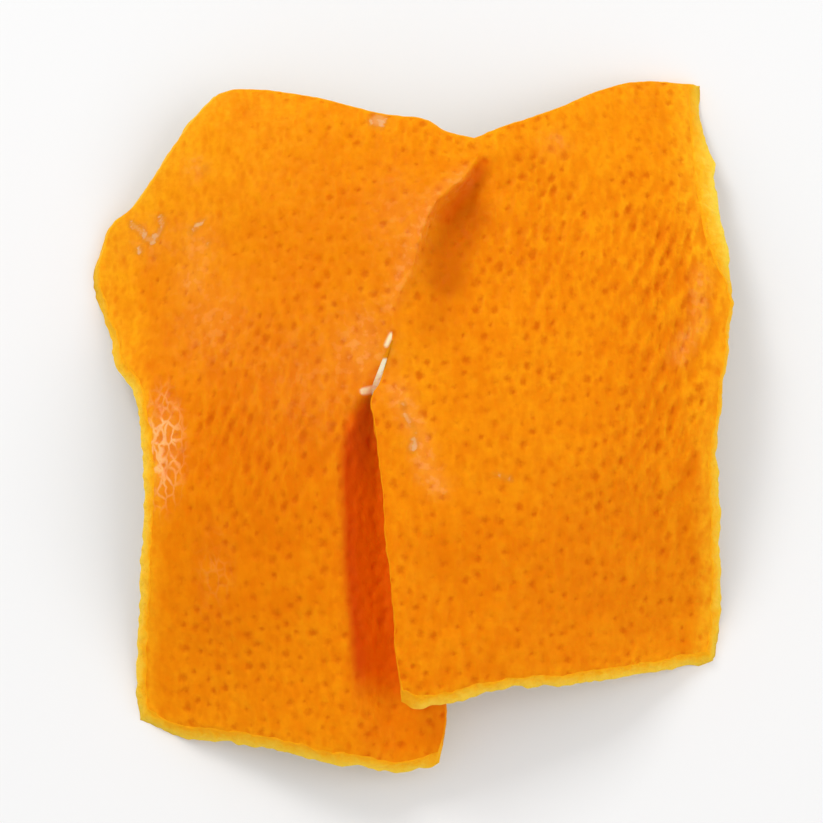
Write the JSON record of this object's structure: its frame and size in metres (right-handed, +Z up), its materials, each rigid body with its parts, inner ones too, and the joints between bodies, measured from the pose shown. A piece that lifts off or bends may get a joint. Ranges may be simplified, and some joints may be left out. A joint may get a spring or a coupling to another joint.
{
  "type": "orange peel",
  "caption": "Curved patch of sweet-orange peel with a notched rim, a crease and a torn, lapped flap, lying zest side up.",
  "frame": {"origin": "bottom centre of the piece's box, on the ground that it rests on", "axes": "+Z up, out of the zest side; +Y towards the notched top rim; +X to the right as seen from above with the notch away from the viewer"},
  "size_m": [0.0582, 0.0642, 0.0121],
  "materials": {
    "orange_peel": "satin orange zest with small darker oil-gland pits; cut rim, tear and underside are cream-yellow pith"
  },
  "bodies": {
    "root": {"orange_peel": "orange_peel"}
  },
  "joints": []
}
